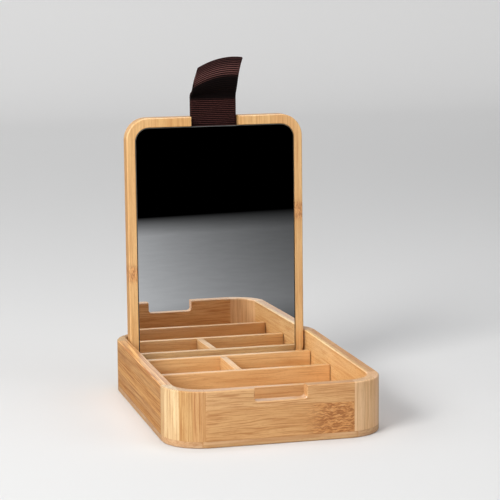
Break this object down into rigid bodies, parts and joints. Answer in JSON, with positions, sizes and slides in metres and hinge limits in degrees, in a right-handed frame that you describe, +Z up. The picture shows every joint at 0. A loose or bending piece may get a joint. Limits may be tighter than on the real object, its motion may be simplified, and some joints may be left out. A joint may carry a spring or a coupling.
{
  "type": "vanity box",
  "caption": "Shallow bamboo vanity box with rounded corners, divided trays and a pivoting lid that carries a framed mirror inside and a webbing pull strap.",
  "frame": {"origin": "centre of the footprint, on the underside of the bottom board", "axes": "+X to the right-hand side seen from the front, +Y to the back where the lid turns, +Z up"},
  "size_m": [0.13, 0.177, 0.2096],
  "materials": {
    "bamboo": "satin",
    "bamboo_upright": "satin",
    "bamboo_divider": "satin",
    "bamboo_lid": "satin",
    "mirror": "polished",
    "pad": "matte",
    "webbing": "ribbed",
    "steel": "satin"
  },
  "bodies": {
    "box": {"base_board": "bamboo", "front_wall": "bamboo", "back_wall": "bamboo", "left_wall": "bamboo", "right_wall": "bamboo", "corner_block_front_left": "bamboo_upright", "corner_block_front_right": "bamboo_upright", "corner_block_rear_left": "bamboo_upright", "corner_block_rear_right": "bamboo_upright", "front_divider": "bamboo_divider", "middle_divider": "bamboo_divider", "rear_divider": "bamboo_divider", "centre_divider": "bamboo_divider", "lid_stop": "bamboo_divider"},
    "lid": {"lid_panel": "bamboo_lid", "mirror_glass": "mirror", "mirror_pad": "pad", "pull_strap": "webbing", "hinge_pin_left": "steel", "hinge_pin_right": "steel"}
  },
  "joints": [
    {"name": "lid_hinge", "type": "hinge", "parent": "box", "child": "lid", "pos_m": [0, 0.0684, 0.0272], "axis": [1, 0, 0], "range_deg": [0, 90.85]}
  ]
}
